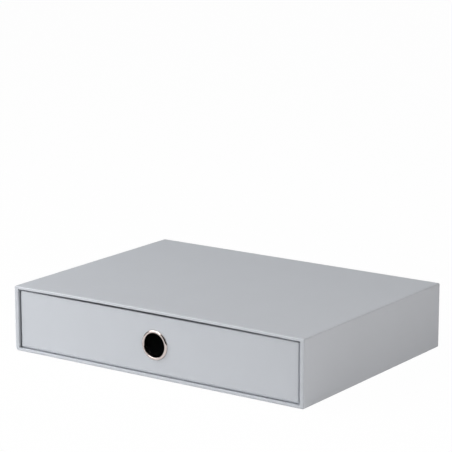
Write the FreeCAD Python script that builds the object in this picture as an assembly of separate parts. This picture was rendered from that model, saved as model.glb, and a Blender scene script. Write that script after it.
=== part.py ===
import FreeCAD, Part

import math
import os

# A desktop file drawer: a flat case of rigid board, open at the front, and one drawer that slides out of it.
# The boards are joined with gummed stay tape at their outer edges and wrapped in covering paper, which is
# folded in over every open edge. Papers and tapes are pressed flush into the board under them.
#
# Millimetres. X runs across the front, Y from the mouth to the back and Z up. The origin is the middle of
# the underside.

# Papers and tapes
paper = 0.2  # covering, lining and backing papers
tape = 0.15  # gummed stay tape
tape_reach = 12.0  # how far a tape laps onto each of the two boards it joins
tape_end_gap = 3.0  # a tape stops this far short of the end of its edge

# Case
case_width = 334.0
case_depth = 245.0
case_height = 65.0
case_side_board = 4.2
case_top_board = 2.5
case_bottom_board = 2.5
case_back_board = 2.5
case_lower_edge_radius = 3.0  # long edges along the desk
case_upper_edge_radius = 1.4  # long edges along the top
case_fold_radius = 1.2  # where the covering folds over the mouth and over the back
mouth_turn_in = 15.0
back_turn_in = 15.0
backing_margin = 3.0  # from the edge of the case to the sheets under it and behind it

# Drawer and its fit in the case
drawer_recess = 1.6  # from the case's front edge back to the drawer's front
drawer_side_clearance = 1.85
drawer_top_clearance = 0.9
drawer_back_clearance = 0.3
drawer_wall_board = 3.0
drawer_front_board = 3.0
drawer_bottom_board = 2.5
drawer_corner_radius = 1.5  # upright corners
drawer_lower_edge_radius = 3.0  # edges round the floor
drawer_rim_radius = 0.8
rim_turn_in = 12.0
floor_turn_in = 15.0
drawer_backing_margin = 4.0  # from the edge of the drawer to the sheet under its floor

# Finger ring, whose barrel is rolled over a washer behind the front
ring_bore = 23.9
flange_width = 2.5  # of the half-round flange round the bore
ring_metal = 0.5  # wall of the barrel
ring_roll = 1.6  # width of the rolled end behind the washer
ring_fit = 0.1  # radial clearance round the barrel
ring_steps = 6  # flat steps in each half-round
ring_right_of_middle = 1.5
ring_above_middle = 0.1
washer_width = 2.95
washer_thickness = 0.5

# The case's clear hollow
hollow_side = case_width / 2 - paper - case_side_board - paper
hollow_floor = paper + paper + case_bottom_board + paper
hollow_top = case_height - paper - case_top_board - paper
hollow_back = case_depth / 2 - paper - case_back_board - paper
case_front = -case_depth / 2
case_back = case_depth / 2 - paper  # back of the covering, which the backing sheet lies on

# The drawer's outside and its hollow
drawer_side = hollow_side - drawer_side_clearance
drawer_front = case_front + drawer_recess
drawer_back = hollow_back - drawer_back_clearance
drawer_underside = hollow_floor + paper  # of the covering, which the base sheet lies under
drawer_top = hollow_top - drawer_top_clearance
tray_side = drawer_side - paper - drawer_wall_board - paper
tray_front = drawer_front + paper + drawer_front_board + paper
tray_back = drawer_back - paper - drawer_wall_board - paper
tray_floor = drawer_underside + drawer_bottom_board + paper

# The finger hole
ring_x = ring_right_of_middle
ring_z = (hollow_floor + drawer_top) / 2 + ring_above_middle
barrel_radius = ring_bore / 2 + ring_metal
finger_hole_radius = barrel_radius + ring_fit


def block(x, y, z):
    """A box from three pairs of limits."""
    return Part.makeBox(x[1] - x[0], y[1] - y[0], z[1] - z[0], FreeCAD.Vector(x[0], y[0], z[0]))


def edges_at(shape, limits, tolerance=0.001):
    """The edges of a shape whose middle lies within three pairs of limits, a single value being a plane."""
    found = []
    for edge in shape.Edges:
        middle = edge.valueAt((edge.FirstParameter + edge.LastParameter) / 2)
        inside = True
        for place, limit in zip((middle.x, middle.y, middle.z), limits):
            low, high = limit if isinstance(limit, tuple) else (limit, limit)
            inside = inside and low - tolerance <= place <= high + tolerance
        if inside:
            found.append(edge)
    return found


def mirrored(shape):
    """A copy on the other side of the middle plane."""
    return shape.mirror(FreeCAD.Vector(0, 0, 0), FreeCAD.Vector(1, 0, 0))


def folded(solid, edges, radius, inset):
    """Edges that the covering folds over: round in the paper, and pressed to a small flat in the board."""
    if inset == 0:
        return solid.makeFillet(radius, edges)
    touching_flat = (2 - math.sqrt(2)) * (radius - inset)
    return solid.makeChamfer(touching_flat, edges)


# ---- Case ----


def case_outside(inset):
    """The outside of the case without its hollow, drawn in by inset."""
    side = case_width / 2 - inset
    front = case_front + inset
    back = case_back - inset
    low = paper + inset
    high = case_height - inset
    middle = (front + back) / 2
    across = (-side, side)
    solid = block(across, (front, back), (low, high))
    upper = edges_at(solid, (across, middle, high))
    solid = solid.makeFillet(case_upper_edge_radius - inset, upper)
    lower = edges_at(solid, (across, middle, low))
    solid = solid.makeFillet(case_lower_edge_radius - inset, lower)
    ends = edges_at(solid, (across, front, (low, high))) + edges_at(solid, (across, back, (low, high)))
    return folded(solid, ends, case_fold_radius, inset)


def case_shell(inset):
    """The walls of the case with their open mouth, drawn in by inset on every face."""
    side = hollow_side + inset
    low = hollow_floor - inset
    high = hollow_top + inset
    front = case_front + inset
    hollow = block((-side, side), (front - 1, hollow_back + inset), (low, high))
    solid = case_outside(inset).cut(hollow)
    mouth = edges_at(solid, ((-side, side), front, (low, high)))
    return folded(solid, mouth, case_fold_radius, inset)


def case_cover_paper():
    """The wrap: four sides, folded in over the mouth and over the back edges."""
    wrap = case_shell(0).cut(case_shell(paper))
    side = hollow_side + paper
    beyond_turn_in = block(
        (-side, side),
        (case_front + mouth_turn_in, hollow_back + paper),
        (hollow_floor - paper, hollow_top + paper),
    )
    window_side = case_width / 2 - back_turn_in
    back_window = block(
        (-window_side, window_side),
        (case_back - paper, case_back),
        (paper + back_turn_in, case_height - back_turn_in),
    )
    return wrap.cut(beyond_turn_in).cut(back_window)


def case_stay_tapes():
    """A tape over each of the four long edges."""
    skin = case_outside(paper).cut(case_outside(paper + tape))
    side = case_width / 2 - paper
    along = (case_front + paper + tape_end_gap, case_back - paper - tape_end_gap)
    tapes = []
    for low, high in (
        (paper + paper, paper + paper + tape_reach),
        (case_height - paper - tape_reach, case_height - paper),
    ):
        right = skin.common(block((side - tape_reach, side), along, (low, high)))
        tapes += [right, mirrored(right)]
    return Part.makeCompound(tapes)


def case_panel(x, y, z, tapes):
    """A board of the case: the part of the walls inside three pairs of limits."""
    return case_shell(paper).common(block(x, y, z)).cut(tapes)


def case_boards(tapes, cover):
    """The five boards, the sides standing outside the others."""
    outer = case_width / 2 - paper
    inner = outer - case_side_board
    along = (case_front + paper, case_back)
    between = (-inner, inner)
    low = paper + paper
    high = case_height - paper
    floor = low + case_bottom_board
    ceiling = high - case_top_board
    back = block(between, (case_back - case_back_board, case_back), (floor, ceiling))
    return {
        "case_bottom_board": case_panel(between, along, (low, floor), tapes),
        "case_top_board": case_panel(between, along, (ceiling, high), tapes),
        "case_left_board": case_panel((-outer, -inner), along, (low, high), tapes),
        "case_right_board": case_panel((inner, outer), along, (low, high), tapes),
        "case_back_board": back.cut(cover),
    }


def case_sheets():
    """The flat sheets: under the base, behind the back and lining the hollow behind the turned-in edge."""
    side = case_width / 2 - backing_margin
    base = block((-side, side), (case_front + backing_margin, case_back - backing_margin), (0, paper))
    backing = block(
        (-side, side),
        (case_back, case_back + paper),
        (paper + backing_margin, case_height - backing_margin),
    )
    along = (case_front + mouth_turn_in, hollow_back + paper)
    full = (-hollow_side - paper, hollow_side + paper)
    upright = (hollow_floor, hollow_top)
    right = block((hollow_side, hollow_side + paper), along, upright)
    return {
        "case_base_paper": base,
        "case_back_paper": backing,
        "case_floor_lining": block(full, along, (hollow_floor - paper, hollow_floor)),
        "case_top_lining": block(full, along, (hollow_top, hollow_top + paper)),
        "case_side_linings": Part.makeCompound([right, mirrored(right)]),
        "case_back_lining": block((-hollow_side, hollow_side), (hollow_back, hollow_back + paper), upright),
    }


# ---- Drawer ----


def drawer_outside(inset):
    """The outside of the drawer without its hollow, drawn in by inset."""
    side = drawer_side - inset
    front = drawer_front + inset
    back = drawer_back - inset
    low = drawer_underside + inset
    high = drawer_top - inset
    middle = (low + high) / 2
    solid = block((-side, side), (front, back), (low, high))
    corners = edges_at(solid, ((-side, side), (front, back), middle))
    solid = solid.makeFillet(drawer_corner_radius - inset, corners)
    lower = edges_at(solid, ((-side, side), (front, back), low))
    solid = solid.makeFillet(drawer_lower_edge_radius - inset, lower)
    rim = edges_at(solid, ((-side, side), (front, back), high))
    return folded(solid, rim, drawer_rim_radius, inset)


def drawer_shell(inset):
    """The walls and floor of the drawer, drawn in by inset on every face."""
    side = tray_side + inset
    front = tray_front - inset
    back = tray_back + inset
    high = drawer_top - inset
    hollow = block((-side, side), (front, back), (tray_floor - inset, high + 1))
    solid = drawer_outside(inset).cut(hollow)
    rim = edges_at(solid, ((-side, side), (front, back), high))
    return folded(solid, rim, drawer_rim_radius, inset)


def finger_hole():
    """What the hole in the front takes out of the covering, the board and the lining."""
    start = FreeCAD.Vector(ring_x, drawer_front - 1, ring_z)
    length = tray_front - drawer_front + 2
    return Part.makeCylinder(finger_hole_radius, length, start, FreeCAD.Vector(0, 1, 0))


def drawer_cover_paper():
    """The wrap: four walls, folded in over the rim and under the floor."""
    wrap = drawer_shell(0).cut(drawer_shell(paper))
    side = tray_side + paper
    beyond_turn_in = block(
        (-side, side),
        (tray_front - paper, tray_back + paper),
        (tray_floor - paper, drawer_top - rim_turn_in),
    )
    window_side = drawer_side - floor_turn_in
    floor_window = block(
        (-window_side, window_side),
        (drawer_front + floor_turn_in, drawer_back - floor_turn_in),
        (drawer_underside, drawer_underside + paper),
    )
    return wrap.cut(beyond_turn_in).cut(floor_window).cut(finger_hole())


def drawer_stay_tapes():
    """A tape round each of the four upright corners."""
    skin = drawer_outside(paper).cut(drawer_outside(paper + tape))
    side = drawer_side - paper
    front = drawer_front + paper
    back = drawer_back - paper
    upright = (drawer_underside + paper + tape_end_gap, drawer_top - paper - tape_end_gap)
    tapes = []
    for along in ((front, front + tape_reach), (back - tape_reach, back)):
        right = skin.common(block((side - tape_reach, side), along, upright))
        tapes += [right, mirrored(right)]
    return Part.makeCompound(tapes)


def drawer_boards(tapes, cover):
    """The five boards: front and back at full width, the sides between them, the floor inside all four."""
    shell = drawer_shell(paper).cut(tapes).cut(finger_hole())
    side = drawer_side - paper
    front = drawer_front + paper
    back = drawer_back - paper
    upright = (drawer_underside + paper, drawer_top - paper)
    inner_side = side - drawer_wall_board
    inner_front = front + drawer_front_board
    inner_back = back - drawer_wall_board
    right = shell.common(block((inner_side, side), (inner_front, inner_back), upright))
    floor = block(
        (-inner_side, inner_side),
        (inner_front, inner_back),
        (drawer_underside, drawer_underside + drawer_bottom_board),
    )
    return {
        "drawer_front_board": shell.common(block((-side, side), (front, inner_front), upright)),
        "drawer_back_board": shell.common(block((-side, side), (inner_back, back), upright)),
        "drawer_left_board": mirrored(right),
        "drawer_right_board": right,
        "drawer_bottom_board": floor.cut(cover),
    }


def drawer_sheets():
    """The flat sheets: under the floor, on the floor and lining the walls below the turned-in edge."""
    side = drawer_side - drawer_backing_margin
    base = block(
        (-side, side),
        (drawer_front + drawer_backing_margin, drawer_back - drawer_backing_margin),
        (hollow_floor, drawer_underside),
    )
    full_side = tray_side + paper
    floor = block(
        (-full_side, full_side),
        (tray_front - paper, tray_back + paper),
        (tray_floor - paper, tray_floor),
    )
    upright = (tray_floor, drawer_top - rim_turn_in)
    front = block((-full_side, full_side), (tray_front - paper, tray_front), upright).cut(finger_hole())
    back = block((-full_side, full_side), (tray_back, tray_back + paper), upright)
    right = block((tray_side, full_side), (tray_front, tray_back), upright)
    return {
        "drawer_base_paper": base,
        "drawer_floor_lining": floor,
        "drawer_wall_linings": Part.makeCompound([front, back, right, mirrored(right)]),
    }


# ---- Finger ring ----


def half_round(start, end, depth, bulge):
    """Points of half a turn from one radius to another in flat steps, bulging by half its own width."""
    middle = (start + end) / 2
    reach = (end - start) / 2
    points = []
    for step in range(ring_steps + 1):
        angle = math.pi * step / ring_steps
        height = abs(reach) * math.sin(angle) * bulge
        points.append(FreeCAD.Vector(middle - reach * math.cos(angle), depth + height, 0))
    return points


def finger_ring():
    """The eyelet: a half-round flange, a barrel through the front and an end rolled over the washer."""
    bore = ring_bore / 2
    seat = tray_front - drawer_front + washer_thickness
    flange = half_round(bore + flange_width, bore, 0, -1)
    rolled_end = half_round(bore, bore + ring_roll, seat, 1)
    barrel = [FreeCAD.Vector(barrel_radius, seat, 0), FreeCAD.Vector(barrel_radius, 0, 0)]
    outline = flange + rolled_end + barrel
    section = Part.Face(Part.makePolygon(outline + outline[:1]))
    centre = FreeCAD.Vector(ring_x, drawer_front, ring_z)
    section.translate(centre)
    return section.revolve(centre, FreeCAD.Vector(0, 1, 0), 360)


def ring_washer():
    """The flat washer behind the front."""
    start = FreeCAD.Vector(ring_x, tray_front, ring_z)
    along = FreeCAD.Vector(0, 1, 0)
    disc = Part.makeCylinder(finger_hole_radius + washer_width, washer_thickness, start, along)
    return disc.cut(Part.makeCylinder(finger_hole_radius, washer_thickness, start, along))


# ---- The whole ----


def all_pieces():
    pieces = {}
    tapes = case_stay_tapes()
    cover = case_cover_paper()
    pieces["case_stay_tapes"] = tapes
    pieces["case_cover_paper"] = cover
    pieces.update(case_boards(tapes, cover))
    pieces.update(case_sheets())
    tapes = drawer_stay_tapes()
    cover = drawer_cover_paper()
    pieces["drawer_stay_tapes"] = tapes
    pieces["drawer_cover_paper"] = cover
    pieces.update(drawer_boards(tapes, cover))
    pieces.update(drawer_sheets())
    pieces["finger_ring"] = finger_ring()
    pieces["ring_washer"] = ring_washer()
    return pieces


os.makedirs("parts", exist_ok=True)
for name, shape in all_pieces().items():
    shape.exportStep(f"parts/{name}.step")
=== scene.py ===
import math

import bmesh
import bpy
from mathutils import Matrix, Vector


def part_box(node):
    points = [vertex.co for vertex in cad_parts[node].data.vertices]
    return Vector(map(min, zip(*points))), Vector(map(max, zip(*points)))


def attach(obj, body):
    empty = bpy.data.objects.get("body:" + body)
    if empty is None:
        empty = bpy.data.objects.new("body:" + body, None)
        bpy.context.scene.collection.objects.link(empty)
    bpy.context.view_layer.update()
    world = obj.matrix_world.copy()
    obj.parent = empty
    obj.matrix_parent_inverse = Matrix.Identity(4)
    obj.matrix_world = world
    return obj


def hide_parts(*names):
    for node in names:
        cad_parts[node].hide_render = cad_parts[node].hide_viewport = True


# A desktop file drawer covered in grey lined paper.
#
# The two coverings, the finger ring, the bowed top of the case and the lowered walls of the drawer are
# modelled here. The other boards, the linings, the backing sheets, the tapes and the washer are the
# frame's own nodes, and get a finish.
#
# Lengths are in metres, in the frame's axes: X across the front, Y from the mouth to the back, Z up.

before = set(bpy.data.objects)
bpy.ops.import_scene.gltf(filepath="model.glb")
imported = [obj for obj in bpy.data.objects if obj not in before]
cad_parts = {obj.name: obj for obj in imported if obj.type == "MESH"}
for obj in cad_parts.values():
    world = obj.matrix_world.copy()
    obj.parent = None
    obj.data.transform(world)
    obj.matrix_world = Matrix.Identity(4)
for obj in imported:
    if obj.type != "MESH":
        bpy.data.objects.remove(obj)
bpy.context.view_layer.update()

MM = 0.001
PAPER = 0.2 * MM
TOUCH = 0.01 * MM  # two places nearer than this are the same
ON_LINE = 0.002 * MM  # a point nearer than this lies on a line
MERGE = 0.001 * MM  # doubles nearer than this are merged

# ---- Sizes taken from the frame ----

case_low, case_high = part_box("case_cover_paper")
hollow_low, hollow_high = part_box("case_back_lining")
turn_in_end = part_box("case_top_lining")[0].y
drawer_low, drawer_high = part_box("drawer_cover_paper")
wall_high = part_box("drawer_wall_linings")[1]
ring_low, ring_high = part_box("finger_ring")
washer_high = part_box("ring_washer")[1]

hollow_side = hollow_high.x
tray_side = wall_high.x - PAPER
ring_centre = (ring_low + ring_high) / 2
ring_outer_radius = (ring_high.x - ring_low.x) / 2

# ---- The case's covering ----

CASE_UPPER_ROUND = 1.4 * MM
CASE_LOWER_LEFT_ROUND = 3.0 * MM
CASE_LOWER_RIGHT_ROUND = 2.1 * MM
CASE_FOLD_ROUND = 1.2 * MM
MOUTH_FOLD_ROUND = 0.4 * MM
MOUTH_CORNER_ROUND = 0.7 * MM
BACK_TURN_IN = 15 * MM
BACK_CORNER_ROUND = 0.5 * MM

# The top bows up where the mouth leaves it free.
BOW_RISE = 0.9 * MM
BOW_LEFT = -155 * MM
BOW_RIGHT = 150 * MM
BOW_CREST = -20 * MM
BOW_FLATNESS = 2.6
BOW_CUTS_ACROSS = 30
BOW_CUTS_ALONG = 12

# The paper's folds at the corners of the mouth: (way in X, way in Z, outer end, inner end), the ends in
# millimetres from the corner of the hollow.
FOLD_REACH = 7 * MM
FOLD_WIDTH = 0.6 * MM
FOLD_DEPTH = 0.12 * MM
CORNER_FOLDS = (
    (-1, 1, (0, 3.5), (0, -0.5)),
    (1, 1, (5, 3), (2.9, -2.6)),
    (-1, -1, (5, -0.9), (-0.3, -0.2)),
    (-1, -1, (3.3, -3.4), (-0.2, 0.2)),
    (1, -1, (4.4, -2.9), (-0.3, 0.2)),
)

# ---- The drawer's covering ----

DRAWER_CORNER_ROUND = 1.5 * MM
DRAWER_LOWER_ROUND = 3.0 * MM  # in front and behind
DRAWER_LOWER_SIDE_ROUND = 1.2 * MM
DRAWER_RIM_ROUND = 0.8 * MM
DRAWER_RIM_DROP = 0.5 * MM  # the walls end this much lower than the frame's boards, well clear of the top
TRAY_CORNER_ROUND = 0.3 * MM
SHARP_CORNER = 0.05 * MM  # the least radius of a corner
FLOOR_TURN_IN = 15 * MM
rim_height = drawer_high.z - DRAWER_RIM_DROP

# ---- The finger ring ----

FLANGE_WIDTH = 2.85 * MM
FLANGE_CROWN = 0.8 * MM  # from the bore
RING_METAL = 0.5 * MM
RING_ROLL = 1.6 * MM
HOLE_CLEARANCE = 0.1 * MM
HOLE_FIELD = 20 * MM  # half the side of the square of covering round the finger hole
bore_radius = ring_outer_radius - FLANGE_WIDTH

# ---- Fineness ----

ROUND_SEGMENTS = 6
LOWER_SEGMENTS = 10
FOLD_SEGMENTS = 5
FLANGE_STEPS = 8
ROLL_STEPS = 5
RING_STEPS = 96
HOLE_FIELD_STEPS = 16
SHARP_ANGLE = math.radians(30)  # faces that meet at more than this show an edge
FOLD_ANGLE = 1.0  # in radians; paper that turns by more than this is folded
FACING = 0.7  # the least part of a face's normal along a way that it is said to face
FLAT_FACE_WEIGHT = 100  # how far large faces outweigh small ones in the shading, 100 at most

# ---- Colours and paper lines ----

COVER_GREY = (0.500, 0.522, 0.556)
LINING_GREY = (0.430, 0.440, 0.455)
BOARD_GREY = (0.330, 0.310, 0.280)
KRAFT = (0.420, 0.270, 0.140)
NICKEL = (0.600, 0.530, 0.505)
BLACK = (0, 0, 0, 1)
WHITE = (1, 1, 1, 1)
LINE_PITCH = 0.7 * MM
WAVE_PHASE = 20  # how far a wave texture at a scale of 1 turns in a unit of length, in radians
TAPE_STRETCH = (1.0, 0.2, 0.6)  # the fibres' scale along each axis

# ---- Floor, light and camera ----

FLOOR_SIZE = 30.0
FLOOR_GREY = (0.8, 0.8, 0.8, 1)
FLOOR_WHITE_SHARE = 0.985

VIEW_AZIMUTH = math.radians(34.81)
VIEW_ELEVATION = math.radians(12.66)
VIEW_DISTANCE = 1.9896
VIEW_TARGET = Vector((-0.01643, 0.02063, 0.11715))
VIEW_LENS = 161.86
SENSOR_WIDTH = 36
VIEW_NEAREST = 0.05
VIEW_FARTHEST = 100

WORLD_STRENGTH = 0.012
LAMP_TARGET = Vector((0, 0, 0.03))
LAMP_DISTANCE = 1.5
# name: (azimuth and elevation in degrees, width, height, power, colour)
LAMPS = {
    "key": (-53, 28, 1.3, 2.3, 43.5, (1, 1, 1)),
    "fill": (78, 24, 1.0, 0.8, 11.4, (1.03, 1.0, 0.98)),
}

# Cards that only the metal mirrors: name: (azimuth and elevation in degrees, width, height, brightness)
CARD_DISTANCE = 1.2
CARDS = {
    "soft_box_face": (-45, 48, 1.7, 1.3, 3.1),
    "flag_by_camera": (35, 26, 1.9, 1.3, 0.01),
    "flag_right": (100, 26, 1.5, 1.2, 0.01),
    "flag_left": (-98, 12, 2.2, 0.68, 0.01),
}


# ---- Finishes ----


def set_inputs(node, values):
    """Sets a node's sockets by name."""
    for socket, value in values.items():
        node.inputs[socket].default_value = value


class Finish:
    """A material with a Principled shader, and the patterns that it is built from."""

    def __init__(self, name, values):
        self.material = bpy.data.materials.new(name)
        self.material.use_nodes = True
        self.nodes = self.material.node_tree.nodes
        self.links = self.material.node_tree.links
        self.shader = self.nodes["Principled BSDF"]
        set_inputs(self.shader, values)

    def place(self, source="Object"):
        """The coordinates that a pattern lies on."""
        return self.nodes.new("ShaderNodeTexCoord").outputs[source]

    def stretched(self, place, scale):
        """Coordinates scaled along each axis."""
        mapping = self.nodes.new("ShaderNodeMapping")
        set_inputs(mapping, {"Scale": scale})
        self.links.new(place, mapping.inputs["Vector"])
        return mapping.outputs["Vector"]

    def noise(self, place, scale, detail):
        """A noise texture's value."""
        texture = self.nodes.new("ShaderNodeTexNoise")
        set_inputs(texture, {"Scale": scale, "Detail": detail})
        self.links.new(place, texture.inputs["Vector"])
        return texture.outputs["Fac"]

    def lines(self, place, pitch):
        """Soft parallel lines along X, one each pitch, that waver a little."""
        texture = self.nodes.new("ShaderNodeTexWave")
        texture.bands_direction = "Y"
        scale = math.tau / (WAVE_PHASE * pitch)
        set_inputs(texture, {"Scale": scale, "Distortion": 1.2, "Detail": 2.0, "Detail Scale": 0.35})
        self.links.new(place, texture.inputs["Vector"])
        return texture.outputs["Fac"]

    def sum_of(self, *weighted):
        """The sum of (value, weight) pairs, each value taken about its middle of a half."""
        total = None
        for value, weight in weighted:
            part = self.nodes.new("ShaderNodeMath")
            part.operation = "MULTIPLY_ADD"
            part.inputs[1].default_value = weight
            part.inputs[2].default_value = -weight / 2
            self.links.new(value, part.inputs[0])
            total = part.outputs[0] if total is None else self.added(total, part.outputs[0])
        return total

    def added(self, first, second):
        """The sum of two values, or of a value and a number."""
        node = self.nodes.new("ShaderNodeMath")
        self.links.new(first, node.inputs[0])
        if isinstance(second, bpy.types.NodeSocket):
            self.links.new(second, node.inputs[1])
        else:
            node.inputs[1].default_value = second
        return node.outputs[0]

    def colour(self, colour, change):
        """Gives the shader a colour made lighter or darker by a changing share."""
        scaled = self.nodes.new("ShaderNodeVectorMath")
        scaled.operation = "SCALE"
        scaled.inputs[0].default_value = colour
        self.links.new(self.added(change, 1.0), scaled.inputs["Scale"])
        self.links.new(scaled.outputs["Vector"], self.shader.inputs["Base Color"])

    def roughness(self, value, low, high):
        """Gives the shader a roughness between two bounds, as a value goes from 0 to 1."""
        bounds = self.nodes.new("ShaderNodeMapRange")
        set_inputs(bounds, {"To Min": low, "To Max": high})
        self.links.new(value, bounds.inputs["Value"])
        self.links.new(bounds.outputs["Result"], self.shader.inputs["Roughness"])

    def relief(self, height, distance):
        """Gives the shader relief, as a height goes from 0 to 1."""
        bump = self.nodes.new("ShaderNodeBump")
        set_inputs(bump, {"Distance": distance})
        self.links.new(height, bump.inputs["Height"])
        self.links.new(bump.outputs["Normal"], self.shader.inputs["Normal"])


def cover_paper(name, source):
    """The grey covering: fine embossed lines, a fibrous grain and a faint unevenness of tone."""
    finish = Finish(name, {"Roughness": 0.62, "Specular IOR Level": 0.35})
    ribs = finish.lines(finish.place(source), LINE_PITCH)
    solid = finish.place()
    grain = finish.noise(solid, scale=2600, detail=4)
    cloud = finish.noise(solid, scale=22, detail=3)
    finish.colour(COVER_GREY, finish.sum_of((ribs, 0.035), (grain, 0.05), (cloud, 0.035)))
    finish.relief(finish.sum_of((ribs, 0.7), (grain, 0.5)), 0.03 * MM)
    return finish.material


def lining_paper():
    """The smooth lining, with a faint grain."""
    finish = Finish("lining_paper_finish", {"Roughness": 0.75, "Specular IOR Level": 0.3})
    place = finish.place()
    grain = finish.noise(place, scale=1800, detail=5)
    cloud = finish.noise(place, scale=30, detail=2)
    finish.colour(LINING_GREY, finish.sum_of((grain, 0.08), (cloud, 0.04)))
    finish.relief(grain, 0.02 * MM)
    return finish.material


def greyboard():
    """Pressed waste-paper board: mottled, with pale and dark flecks."""
    finish = Finish("greyboard_finish", {"Roughness": 0.9})
    place = finish.place()
    flecks = finish.noise(place, scale=1400, detail=6)
    mottle = finish.noise(place, scale=160, detail=4)
    finish.colour(BOARD_GREY, finish.sum_of((flecks, 0.7), (mottle, 0.25)))
    finish.relief(flecks, 0.05 * MM)
    return finish.material


def stay_tape():
    """Gummed kraft tape with its fibres along it."""
    finish = Finish("stay_tape_finish", {"Roughness": 0.6})
    place = finish.place()
    fibres = finish.noise(finish.stretched(place, TAPE_STRETCH), scale=1800, detail=5)
    mottle = finish.noise(place, scale=90, detail=3)
    finish.colour(KRAFT, finish.sum_of((fibres, 0.35), (mottle, 0.12)))
    finish.relief(fibres, 0.03 * MM)
    return finish.material


def nickel():
    """Polished nickel plate with a faint haze and hairline scratches."""
    finish = Finish("nickel_finish", {"Metallic": 1.0})
    place = finish.place()
    haze = finish.noise(place, scale=500, detail=3)
    scratch = finish.noise(place, scale=5200, detail=2)
    finish.colour(NICKEL, finish.sum_of((haze, 0.05), (scratch, 0.03)))
    finish.roughness(haze, low=0.03, high=0.09)
    finish.relief(scratch, 0.002 * MM)
    return finish.material


# ---- Making pieces ----


def block(low, high):
    """A bmesh box between two corners."""
    bm = bmesh.new()
    bmesh.ops.create_cube(bm, size=1.0)
    bmesh.ops.scale(bm, vec=high - low, verts=bm.verts)
    bmesh.ops.translate(bm, vec=(low + high) / 2, verts=bm.verts)
    bm.normal_update()
    return bm


def copy_of(node):
    """A bmesh of one of the frame's nodes, its doubles merged."""
    bm = bmesh.new()
    bm.from_mesh(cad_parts[node].data)
    bmesh.ops.remove_doubles(bm, verts=bm.verts, dist=MERGE)
    return bm


def near(a, b):
    """Whether two places on an axis are the same."""
    return abs(a - b) < TOUCH


def face_towards(bm, way):
    """The face that looks most nearly along a way."""
    return max(bm.faces, key=lambda face: face.normal.dot(Vector(way)))


def edges_where(bm, holds):
    """The edges with both ends where a condition holds."""
    return [edge for edge in bm.edges if all(holds(vert.co) for vert in edge.verts)]


def folds_where(bm, holds):
    """The edges that paper is folded over, with both ends where a condition holds."""
    inner = [edge for edge in edges_where(bm, holds) if len(edge.link_faces) == 2]
    return [edge for edge in inner if edge.calc_face_angle() > FOLD_ANGLE]


def rounded(bm, edges, radius, segments):
    """Edges rounded to a radius."""
    bmesh.ops.bevel(
        bm,
        geom=edges,
        offset=radius,
        segments=segments,
        profile=0.5,
        affect="EDGES",
        material=-1,
        clamp_overlap=True,
    )


def cut_along(bm, faces, point, normal):
    """Cuts faces where a plane crosses them."""
    verts = dict.fromkeys(vert for face in faces for vert in face.verts)
    edges = dict.fromkeys(edge for face in faces for edge in face.edges)
    geometry = [*verts, *edges, *faces]
    bmesh.ops.bisect_plane(bm, geom=geometry, plane_co=point, plane_no=normal, dist=MERGE)


def cut_across(bm, faces, axis, place):
    """Cuts faces at a place on an axis."""
    normal = Vector((0, 0, 0))
    normal[axis] = 1
    cut_along(bm, faces, normal * place, normal)


def open_loop(bm, face):
    """Takes a face away and gives the loop of edges that it leaves open."""
    loop = list(face.edges)
    bmesh.ops.delete(bm, geom=[face], context="FACES_ONLY")
    return loop


def carried_on(bm, loop, place):
    """A band from an open loop to its copy, each point of which place() puts where it belongs."""
    made = bmesh.ops.extrude_edge_only(bm, edges=loop)["geom"]
    for vert in made:
        if isinstance(vert, bmesh.types.BMVert):
            vert.co = place(vert.co)
    return [edge for edge in made if isinstance(edge, bmesh.types.BMEdge)]


def lay_sheet(bm, place):
    """A UV map in metres along the sheet of paper: place(face) says how a face's points lie on it."""
    layer = bm.loops.layers.uv.new("sheet")
    bm.normal_update()
    for face in bm.faces:
        on_sheet = place(face)
        for corner in face.loops:
            corner[layer].uv = on_sheet(corner.vert.co)


def finished(name, bm, material, body, nodes, thickness=None):
    """The piece made of a bmesh, standing for nodes of the frame. A sheet gets its thickness inwards."""
    for edge in bm.edges:
        edge.smooth = len(edge.link_faces) != 2 or edge.calc_face_angle() < SHARP_ANGLE
    mesh = bpy.data.meshes.new(name)
    bm.to_mesh(mesh)
    bm.free()
    mesh.polygons.foreach_set("use_smooth", [True] * len(mesh.polygons))
    mesh.materials.append(material)
    piece = bpy.data.objects.new(name, mesh)
    bpy.context.scene.collection.objects.link(piece)
    if thickness:
        wall = piece.modifiers.new("thickness", "SOLIDIFY")
        wall.thickness = thickness
        wall.offset = -1.0
        wall.use_even_offset = True
    flat = piece.modifiers.new("flat_faces", "WEIGHTED_NORMAL")
    flat.weight = FLAT_FACE_WEIGHT
    flat.keep_sharp = True
    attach(piece, body)
    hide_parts(*nodes)
    return piece


# ---- Outlines that the coverings are turned in between ----


class Outline:
    """A rounded rectangle across two axes: its lowest and highest corner, and its corners' radii.

    The radii are those of the low left, low right and both high corners.
    """

    def __init__(self, axes, low, high, radii):
        self.axes = axes
        self.low = low
        self.high = high
        self.radii = radii

    def corner(self, point):
        """The centre and the radius of the corner that a point belongs to."""
        centre = point.copy()
        bounds = list(zip(self.axes, self.low, self.high))
        sides = [point[axis] > (low + high) / 2 for axis, low, high in bounds]
        radius = self.radii[2 if sides[1] else sides[0]]
        for (axis, low, high), upper in zip(bounds, sides):
            centre[axis] = high - radius if upper else low + radius
        return centre, radius


def front_outline(side, low, high, *radii):
    """An outline seen from the front, with one radius, or the low left, low right and high corners' own."""
    return Outline((0, 2), (-side, low), (side, high), radii if len(radii) > 1 else radii * 3)


def plan_outline(side_inset, end_inset, radius):
    """The drawer's outline seen from above, drawn in by an inset at its sides and one at its ends."""
    low = (drawer_low.x + side_inset, drawer_low.y + end_inset)
    high = (drawer_high.x - side_inset, drawer_high.y - end_inset)
    return Outline((0, 1), low, high, (radius, radius, radius))


def moved_between(start, end):
    """A rule that takes a point of one outline to the same point of another."""

    def place(point):
        centre, radius = start.corner(point)
        new_centre, new_radius = end.corner(point)
        return new_centre + (point - centre) * (new_radius / radius)

    return place


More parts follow.
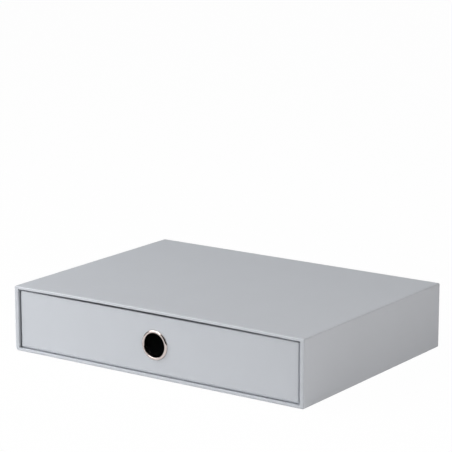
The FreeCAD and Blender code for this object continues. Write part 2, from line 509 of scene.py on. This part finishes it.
def at_height(place, height):
    """A rule that puts a point where another rule does, at a height."""
    return lambda co: Vector((*place(co).xy, height))


# ---- The bow of the top ----


def eased(share):
    """A share from 0 to 1 that starts and ends gently."""
    return share * share * (3 - 2 * share)


def rise(point):
    """How far the top stands up at a point: nothing at its sides and its back, most at the mouth."""
    if not BOW_LEFT < point.x < BOW_RIGHT or point.y > hollow_low.y:
        return 0.0
    end = BOW_LEFT if point.x < BOW_CREST else BOW_RIGHT
    across = 1 - ((point.x - BOW_CREST) / (end - BOW_CREST)) ** BOW_FLATNESS
    along = (hollow_low.y - point.y) / (hollow_low.y - case_low.y)
    return BOW_RISE * across * eased(along)


def bow_top(bm):
    """Cuts whatever lies over the hollow into a grid and lifts it as the top bows."""
    ceiling = hollow_high.z - TOUCH
    for axis, start, end, cuts in (
        (0, BOW_LEFT, BOW_RIGHT, BOW_CUTS_ACROSS),
        (1, turn_in_end, hollow_low.y, BOW_CUTS_ALONG),
    ):
        for step in range(cuts + 1):
            upper = [face for face in bm.faces if min(vert.co.z for vert in face.verts) > ceiling]
            cut_across(bm, upper, axis, start + (end - start) * step / cuts)
    for vert in bm.verts:
        if vert.co.z > ceiling:
            vert.co.z += rise(vert.co)


def bowed_node(node, material):
    """One of the frame's sheets or boards over the hollow, bowed."""
    bm = copy_of(node)
    bow_top(bm)
    return finished(node + "_bowed", bm, material, "case", [node])


# ---- The folds at the corners of the mouth ----


class CornerFold:
    """A fold of the paper on the rim at a corner of the mouth, from its outer end to its inner end."""

    def __init__(self, way_x, way_z, outer, inner):
        corner = Vector((way_x * hollow_side, 0, hollow_high.z if way_z > 0 else hollow_low.z))
        self.way_x = way_x
        self.way_z = way_z
        self.inner_x = corner.x - way_x * FOLD_REACH
        self.inner_z = corner.z - way_z * FOLD_REACH
        self.start = corner + Vector((way_x * outer[0] * MM, 0, outer[1] * MM))
        end = corner + Vector((way_x * inner[0] * MM, 0, inner[1] * MM))
        self.length = (end - self.start).length
        self.along = (end - self.start).normalized()
        self.normal = Vector((self.along.z, 0, -self.along.x))

    def at_corner(self, point, margin=0.0):
        """Whether a point lies at the fold's corner, or within a margin of it."""
        past_x = (point.x - self.inner_x) * self.way_x > -margin
        past_z = (point.z - self.inner_z) * self.way_z > -margin
        return past_x and past_z

    def on_crease(self, point):
        """Whether a point lies in the fold's crease, seen from the front."""
        away = point - self.start
        away.y = 0
        reached = away.dot(self.along)
        return abs(away.dot(self.normal)) < ON_LINE and -TOUCH < reached < self.length


def faces_on_rim(bm, behind):
    """The faces that lie wholly in front of a place on Y."""
    return [face for face in bm.faces if all(vert.co.y < behind for vert in face.verts)]


def press_fold(bm, fold, behind):
    """Cuts the rim along a fold and on both sides of it, and presses the crease in."""
    cut_across(bm, faces_on_rim(bm, behind), 0, fold.inner_x)
    cut_across(bm, faces_on_rim(bm, behind), 2, fold.inner_z)
    for offset in (-FOLD_WIDTH / 2, 0, FOLD_WIDTH / 2):
        rim = faces_on_rim(bm, behind)
        faces = [face for face in rim if all(fold.at_corner(vert.co, TOUCH) for vert in face.verts)]
        cut_along(bm, faces, fold.start + fold.normal * offset, fold.normal)
    bm.normal_update()
    for vert in bm.verts:
        if vert.co.y < behind and fold.at_corner(vert.co) and fold.on_crease(vert.co):
            vert.co -= vert.normal * FOLD_DEPTH


# ---- The case's wrap ----


def in_mouth(point):
    """Whether a point of the front lies on the edge of the mouth."""
    across = abs(point.x) < hollow_side + TOUCH
    upright = hollow_low.z - TOUCH < point.z < hollow_high.z + TOUCH
    return across and upright and near(point.y, case_low.y)


def case_box():
    """The case's outside, closed, with its long edges rounded."""
    bm = block(case_low, case_high)
    long_edges = [edge for edge in bm.edges if not near(edge.verts[0].co.y, edge.verts[1].co.y)]
    upper = [edge for edge in long_edges if near(edge.verts[0].co.z, case_high.z)]
    lower = [edge for edge in long_edges if near(edge.verts[0].co.z, case_low.z)]
    lower_left = [edge for edge in lower if edge.verts[0].co.x < 0]
    lower_right = [edge for edge in lower if edge.verts[0].co.x > 0]
    rounded(bm, upper, CASE_UPPER_ROUND, ROUND_SEGMENTS)
    rounded(bm, lower_left, CASE_LOWER_LEFT_ROUND, ROUND_SEGMENTS)
    rounded(bm, lower_right, CASE_LOWER_RIGHT_ROUND, ROUND_SEGMENTS)
    bm.normal_update()
    return bm


def turn_in_case(bm):
    """Turns the wrap in over the mouth and over the back."""
    radii = (CASE_LOWER_LEFT_ROUND, CASE_LOWER_RIGHT_ROUND, CASE_UPPER_ROUND)
    outside = front_outline(case_high.x, case_low.z, case_high.z, *radii)
    mouth = front_outline(hollow_side, hollow_low.z, hollow_high.z, MOUTH_CORNER_ROUND)
    loop = open_loop(bm, face_towards(bm, (0, -1, 0)))
    loop = carried_on(bm, loop, moved_between(outside, mouth))
    carried_on(bm, loop, lambda co: co + Vector((0, turn_in_end - case_low.y, 0)))

    window = front_outline(
        case_high.x - BACK_TURN_IN,
        case_low.z + BACK_TURN_IN,
        case_high.z - BACK_TURN_IN,
        BACK_CORNER_ROUND,
    )
    loop = open_loop(bm, face_towards(bm, (0, 1, 0)))
    carried_on(bm, loop, moved_between(outside, window))
    bm.normal_update()


def round_case_folds(bm):
    """Rounds the paper's folds over the front, the back and the edge of the mouth."""
    at_front = folds_where(bm, lambda co: near(co.y, case_low.y))
    over_front = [edge for edge in at_front if not all(in_mouth(vert.co) for vert in edge.verts)]
    over_back = folds_where(bm, lambda co: near(co.y, case_high.y))
    rounded(bm, over_front + over_back, CASE_FOLD_ROUND, FOLD_SEGMENTS)
    rounded(bm, folds_where(bm, in_mouth), MOUTH_FOLD_ROUND, FOLD_SEGMENTS)


def case_line_place(face):
    """The case's lines run round it, and so along the rim where the paper is turned in."""
    if abs(face.normal.y) < FACING:
        return lambda co: (co.x + co.z, co.y)
    middle = face.calc_center_median()
    edge = case_low.y if face.normal.y < 0 else case_high.y
    way = -1 if face.normal.y < 0 else 1
    from_side = case_high.x - abs(middle.x)
    from_top = case_high.z - middle.z
    from_bottom = middle.z - case_low.z
    if from_side < min(from_top, from_bottom):
        return lambda co: (co.z, edge + way * (case_high.x - abs(co.x)))
    if from_top < from_bottom:
        return lambda co: (co.x, edge + way * (case_high.z - co.z))
    return lambda co: (co.x, edge + way * (co.z - case_low.z))


def case_wrap():
    """The wrap: round the four sides, in over the mouth and in over the back."""
    bm = case_box()
    turn_in_case(bm)
    round_case_folds(bm)
    for fold in CORNER_FOLDS:
        press_fold(bm, CornerFold(*fold), case_low.y + CASE_FOLD_ROUND + TOUCH)
    bow_top(bm)
    lay_sheet(bm, case_line_place)
    material = cover_paper("case_cover_finish", "UV")
    return finished("case_wrap", bm, material, "case", ["case_cover_paper"], PAPER)


# ---- The drawer's walls and wrap ----


def lowered_wall(node, material):
    """One of the drawer's wall boards, its rounded top let down to the rim."""
    bm = copy_of(node)
    rounding = drawer_high.z - DRAWER_RIM_ROUND
    for vert in bm.verts:
        if vert.co.z > rounding - TOUCH:
            vert.co.z -= DRAWER_RIM_DROP
    return finished(node + "_lowered", bm, material, "drawer", [node])


def drawer_box():
    """The drawer's outside over its lower rounding, closed, with its upright edges rounded."""
    foot = Vector((drawer_low.x, drawer_low.y, drawer_low.z + DRAWER_LOWER_ROUND))
    bm = block(foot, Vector((drawer_high.x, drawer_high.y, rim_height)))
    upright = [edge for edge in bm.edges if not near(edge.verts[0].co.z, edge.verts[1].co.z)]
    rounded(bm, upright, DRAWER_CORNER_ROUND, ROUND_SEGMENTS)
    bm.normal_update()
    return bm


def turn_in_rim(bm, outside):
    """Turns the wrap in over the walls and gives the folds of the rim."""
    wall = drawer_high.x - tray_side
    tray = plan_outline(wall, wall, TRAY_CORNER_ROUND)
    loop = open_loop(bm, face_towards(bm, (0, 0, 1)))
    loop = carried_on(bm, loop, moved_between(outside, tray))
    carried_on(bm, loop, lambda co: Vector((co.x, co.y, wall_high.z)))
    bm.normal_update()
    return folds_where(bm, lambda co: near(co.z, rim_height))


def inset_of_round(height, radius):
    """How far a rounded edge lies in from its side at a height over its foot."""
    below = max(radius - height, 0)
    return radius - math.sqrt(radius * radius - below * below)


def turn_under_floor(bm, outside):
    """Takes the wrap round the lower edges and in under the floor."""
    loop = open_loop(bm, face_towards(bm, (0, 0, -1)))
    start = outside
    for step in range(1, LOWER_SEGMENTS + 1):
        height = DRAWER_LOWER_ROUND * (1 - math.sin(math.radians(90) * step / LOWER_SEGMENTS))
        side_inset = inset_of_round(height, DRAWER_LOWER_SIDE_ROUND)
        end_inset = inset_of_round(height, DRAWER_LOWER_ROUND)
        end = plan_outline(side_inset, end_inset, max(DRAWER_CORNER_ROUND - end_inset, SHARP_CORNER))
        loop = carried_on(bm, loop, at_height(moved_between(start, end), drawer_low.z + height))
        start = end
    carried_on(bm, loop, moved_between(start, plan_outline(FLOOR_TURN_IN, FLOOR_TURN_IN, SHARP_CORNER)))


def open_finger_hole(bm):
    """The round hole in the front: a square of the front is taken out and bridged to a circle."""
    for offset in (-HOLE_FIELD, HOLE_FIELD):
        cut_across(bm, bm.faces[:], 0, ring_centre.x + offset)
        cut_across(bm, bm.faces[:], 2, ring_centre.z + offset)
    bm.normal_update()
    centre = Vector((ring_centre.x, drawer_low.y, ring_centre.z))
    field = min(bm.faces, key=lambda face: (face.calc_center_median() - centre).length)
    loop = open_loop(bm, field)
    bmesh.ops.subdivide_edges(bm, edges=loop, cuts=HOLE_FIELD_STEPS - 1)

    def on_square(co):
        return near(co.y, centre.y) and near(max(abs(co.x - centre.x), abs(co.z - centre.z)), HOLE_FIELD)

    square = [edge for edge in edges_where(bm, on_square) if edge.is_boundary]
    circle = bmesh.ops.create_circle(
        bm,
        segments=4 * HOLE_FIELD_STEPS,
        radius=bore_radius + RING_METAL + HOLE_CLEARANCE,
        matrix=Matrix.Translation(centre) @ Matrix.Rotation(math.radians(90), 4, "X"),
    )["verts"]
    rim = [edge for edge in bm.edges if edge.verts[0] in circle and edge.verts[1] in circle]
    bmesh.ops.bridge_loops(bm, edges=square + rim)


def drawer_line_place(face):
    """The drawer's lines are upright: across the width in front and behind, across the depth at the sides."""
    middle = face.calc_center_median()
    from_side = drawer_high.x - abs(middle.x)
    from_end = min(middle.y - drawer_low.y, drawer_high.y - middle.y)
    if from_end < from_side:
        return lambda co: (co.z, co.x)
    return lambda co: (co.z, co.y)


def drawer_wrap():
    """The wrap: round the four walls, in over the rim and in under the floor."""
    bm = drawer_box()
    outside = plan_outline(0, 0, DRAWER_CORNER_ROUND)
    rim = turn_in_rim(bm, outside)
    turn_under_floor(bm, outside)
    rounded(bm, rim, DRAWER_RIM_ROUND, FOLD_SEGMENTS)
    open_finger_hole(bm)
    lay_sheet(bm, drawer_line_place)
    material = cover_paper("drawer_cover_finish", "UV")
    return finished("drawer_wrap", bm, material, "drawer", ["drawer_cover_paper"], PAPER)


# ---- The finger ring's profile and piece ----


def arc(start, crown, end, depth, bulge, steps):
    """Points of a rounded profile from one radius over its crown to another; it bulges along the axis."""
    points = []
    for step in range(2 * steps + 1):
        angle = math.pi / 2 * step / steps
        edge = start if step < steps else end
        points.append((crown + (edge - crown) * abs(math.cos(angle)), depth + bulge * math.sin(angle)))
    return points


def ring_profile():
    """The ring's section as (radius, place on Y): flange, bore, rolled end and the barrel's outside."""
    front = drawer_low.y
    seat = washer_high.y
    barrel = bore_radius + RING_METAL
    roll = bore_radius + RING_ROLL
    crown = bore_radius + FLANGE_CROWN
    flange = arc(ring_outer_radius, crown, bore_radius, front, -FLANGE_WIDTH / 2, FLANGE_STEPS)
    rolled_end = arc(bore_radius, (bore_radius + roll) / 2, roll, seat, RING_ROLL / 2, ROLL_STEPS)
    return [*flange, *rolled_end, (barrel, seat), (barrel, front)]


def finger_ring(material):
    """The ring: a rounded flange, a barrel and an end rolled over the washer."""
    bm = bmesh.new()
    verts = [bm.verts.new((ring_centre.x + radius, y, ring_centre.z)) for radius, y in ring_profile()]
    edges = [bm.edges.new((verts[i - 1], verts[i])) for i in range(len(verts))]
    bmesh.ops.spin(
        bm,
        geom=verts + edges,
        cent=(ring_centre.x, drawer_low.y, ring_centre.z),
        axis=(0, 1, 0),
        angle=math.tau,
        steps=RING_STEPS,
        use_merge=True,
    )
    bmesh.ops.remove_doubles(bm, verts=bm.verts, dist=MERGE)
    bmesh.ops.recalc_face_normals(bm, faces=bm.faces)
    return finished("finger_ring_spun", bm, material, "drawer", ["finger_ring"])


# ---- The frame's own nodes ----


def slot_finishes():
    """A finish for each of the record's material slots."""
    return {
        "cover_paper": cover_paper("sheet_cover_finish", "Object"),
        "lining_paper": lining_paper(),
        "greyboard": greyboard(),
        "stay_tape": stay_tape(),
        "nickel": nickel(),
    }


def dress_nodes(finishes):
    """Gives the frame's own nodes their finishes."""
    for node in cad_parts.values():
        for material_slot in node.material_slots:
            material_slot.material = finishes[material_slot.material.name.split(".")[0]]


# ---- The stage ----


def seen_as(nodes, links):
    """1 where a surface is seen by the camera or in metal or glass, 0 where it only gives light."""
    path = nodes.new("ShaderNodeLightPath")
    total = path.outputs["Is Camera Ray"]
    for name in ("Is Glossy Ray", "Is Transmission Ray"):
        joined = nodes.new("ShaderNodeMath")
        joined.operation = "MAXIMUM"
        links.new(total, joined.inputs[0])
        links.new(path.outputs[name], joined.inputs[1])
        total = joined.outputs[0]
    return total


def show_mixed(nodes, links, share, lit, seen, output):
    """Shows how a thing is lit, mixed with a share of how it is seen."""
    mixed = nodes.new("ShaderNodeMixShader")
    links.new(share, mixed.inputs["Fac"])
    links.new(lit, mixed.inputs[1])
    links.new(seen, mixed.inputs[2])
    links.new(mixed.outputs["Shader"], nodes[output].inputs["Surface"])


def floor_finish():
    """A white floor that keeps part of the shadow."""
    values = {"Base Color": FLOOR_GREY, "Roughness": 0.9, "Specular IOR Level": 0.0}
    finish = Finish("floor_finish", values)
    white = finish.nodes.new("ShaderNodeEmission")
    share = finish.nodes.new("ShaderNodeMath")
    share.operation = "MULTIPLY"
    share.inputs[1].default_value = FLOOR_WHITE_SHARE
    finish.links.new(seen_as(finish.nodes, finish.links), share.inputs[0])
    lit = finish.shader.outputs["BSDF"]
    seen = white.outputs["Emission"]
    show_mixed(finish.nodes, finish.links, share.outputs[0], lit, seen, "Material Output")
    return finish.material


def flat_sheet(name, width, height, material):
    """A flat rectangle about the origin."""
    bm = bmesh.new()
    bmesh.ops.create_grid(bm, x_segments=1, y_segments=1, size=0.5)
    bmesh.ops.scale(bm, vec=(width, height, 1), verts=bm.verts)
    mesh = bpy.data.meshes.new(name)
    bm.to_mesh(mesh)
    bm.free()
    mesh.materials.append(material)
    return bpy.data.objects.new(name, mesh)


def make_floor():
    """The floor that the case stands on."""
    floor = flat_sheet("floor", FLOOR_SIZE, FLOOR_SIZE, floor_finish())
    bpy.context.scene.collection.objects.link(floor)


def make_world():
    """Even studio light, with a white background where it is seen."""
    world = bpy.data.worlds.new("studio")
    bpy.context.scene.world = world
    world.use_nodes = True
    nodes = world.node_tree.nodes
    links = world.node_tree.links
    light = nodes["Background"]
    set_inputs(light, {"Color": WHITE, "Strength": WORLD_STRENGTH})
    white = nodes.new("ShaderNodeBackground")
    set_inputs(white, {"Color": WHITE})
    seen = white.outputs["Background"]
    show_mixed(nodes, links, seen_as(nodes, links), light.outputs["Background"], seen, "World Output")


def direction(azimuth, elevation):
    """The direction at an azimuth, from the front towards the right, and an elevation, both in radians."""
    level = math.cos(elevation)
    return Vector((math.sin(azimuth) * level, -math.cos(azimuth) * level, math.sin(elevation)))


def hung(holder, azimuth, elevation, distance):
    """Hangs a lamp or a card at a distance in a direction given in degrees, facing the case."""
    way = direction(math.radians(azimuth), math.radians(elevation))
    holder.location = LAMP_TARGET + way * distance
    holder.rotation_euler = (-way).to_track_quat("-Z", "Y").to_euler()
    bpy.context.scene.collection.objects.link(holder)


def make_lamps():
    """The soft boxes, which metal doesn't mirror."""
    for name, (azimuth, elevation, width, height, power, colour) in LAMPS.items():
        light = bpy.data.lights.new(name, "AREA")
        light.shape = "RECTANGLE"
        light.size = width
        light.size_y = height
        light.energy = power
        light.color = colour
        holder = bpy.data.objects.new(name, light)
        holder.visible_glossy = False
        hung(holder, azimuth, elevation, LAMP_DISTANCE)


def card_finish(name, brightness):
    """A card's even face, black or as bright as a soft box."""
    values = {
        "Base Color": BLACK,
        "Specular IOR Level": 0.0,
        "Emission Color": WHITE,
        "Emission Strength": brightness,
    }
    return Finish(name + "_finish", values).material


def make_cards():
    """The cards, which shape the reflections in the ring and are seen by nothing else."""
    for name, (azimuth, elevation, width, height, brightness) in CARDS.items():
        card = flat_sheet(name, width, height, card_finish(name, brightness))
        card.visible_camera = False
        card.visible_diffuse = False
        card.visible_transmission = False
        card.visible_shadow = False
        hung(card, azimuth, elevation, CARD_DISTANCE)


def make_camera():
    """The camera, in front and a little to the right, with a long lens."""
    data = bpy.data.cameras.new("camera")
    data.lens = VIEW_LENS
    data.sensor_width = SENSOR_WIDTH
    data.clip_start = VIEW_NEAREST
    data.clip_end = VIEW_FARTHEST
    camera = bpy.data.objects.new("camera", data)
    back = direction(VIEW_AZIMUTH, VIEW_ELEVATION)
    camera.location = VIEW_TARGET + back * VIEW_DISTANCE
    camera.rotation_euler = (-back).to_track_quat("-Z", "Y").to_euler()
    bpy.context.scene.collection.objects.link(camera)
    bpy.context.scene.camera = camera


bpy.context.scene.view_settings.view_transform = "Standard"
make_camera()
make_floor()
make_world()
make_lamps()
make_cards()

finishes = slot_finishes()
dress_nodes(finishes)
case_wrap()
bowed_node("case_top_board", finishes["greyboard"])
bowed_node("case_top_lining", finishes["lining_paper"])
for wall in ("front", "back", "left", "right"):
    lowered_wall(f"drawer_{wall}_board", finishes["greyboard"])
drawer_wrap()
finger_ring(finishes["nickel"])
